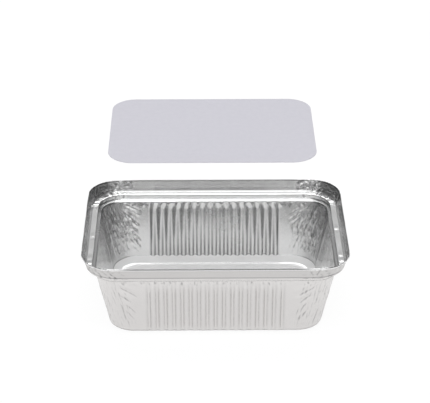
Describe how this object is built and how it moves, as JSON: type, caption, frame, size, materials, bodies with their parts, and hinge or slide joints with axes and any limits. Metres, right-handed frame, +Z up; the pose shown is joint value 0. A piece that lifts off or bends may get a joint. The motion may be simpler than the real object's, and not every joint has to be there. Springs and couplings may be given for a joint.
{
  "type": "foil food container",
  "caption": "Rectangular pressed foil tray with ribbed long walls, gathered round corners and an upright flange to fold over its flat board lid, which lies apart behind it.",
  "frame": {"origin": "middle of the tray's flat underside, on the surface it stands on", "axes": "+X along the tray's long side, +Y towards the lid that lies behind it, +Z up"},
  "size_m": [0.2036, 0.4409, 0.0674],
  "materials": {
    "foil": "bright rolled foil",
    "board": "matt laminated"
  },
  "bodies": {
    "root": {"tray": "foil", "lid": "board"}
  },
  "joints": []
}
